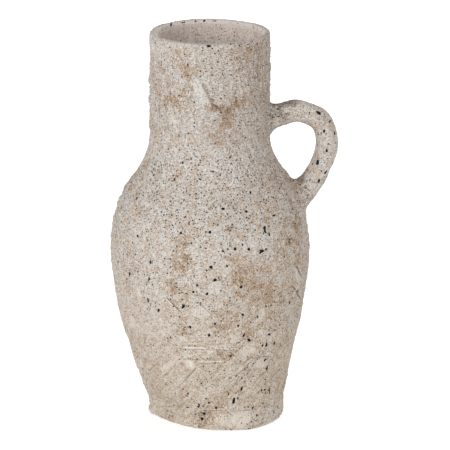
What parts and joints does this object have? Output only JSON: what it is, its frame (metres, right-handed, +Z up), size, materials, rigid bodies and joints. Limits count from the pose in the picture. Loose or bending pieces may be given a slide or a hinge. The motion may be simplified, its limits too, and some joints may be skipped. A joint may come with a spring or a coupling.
{
  "type": "one-handled jug vase",
  "caption": "Tall hand-built stoneware jug vase: round belly on a flat foot, straight open neck, one loop handle from neck to shoulder.",
  "frame": {"origin": "middle of the flat foot that the jug stands on", "axes": "+Z up, +X from the jug's axis towards the handle"},
  "size_m": [0.2019, 0.177, 0.35],
  "materials": {
    "slipped_stoneware": "rough unglazed stoneware under a worn pale slip wash, with iron specks and grit",
    "bare_clay": "rough unglazed stoneware without slip"
  },
  "bodies": {
    "root": {"base_slab": "slipped_stoneware", "lower_wall": "slipped_stoneware", "belly_wall": "slipped_stoneware", "shoulder_wall": "slipped_stoneware", "neck_wall": "slipped_stoneware", "rim_coil": "slipped_stoneware", "handle": "slipped_stoneware", "handle_top_fillet": "slipped_stoneware", "handle_foot_fillet": "slipped_stoneware", "base_seam_coil": "bare_clay", "lower_seam_coil": "bare_clay", "belly_seam_coil": "bare_clay", "neck_seam_coil": "bare_clay"}
  },
  "joints": []
}
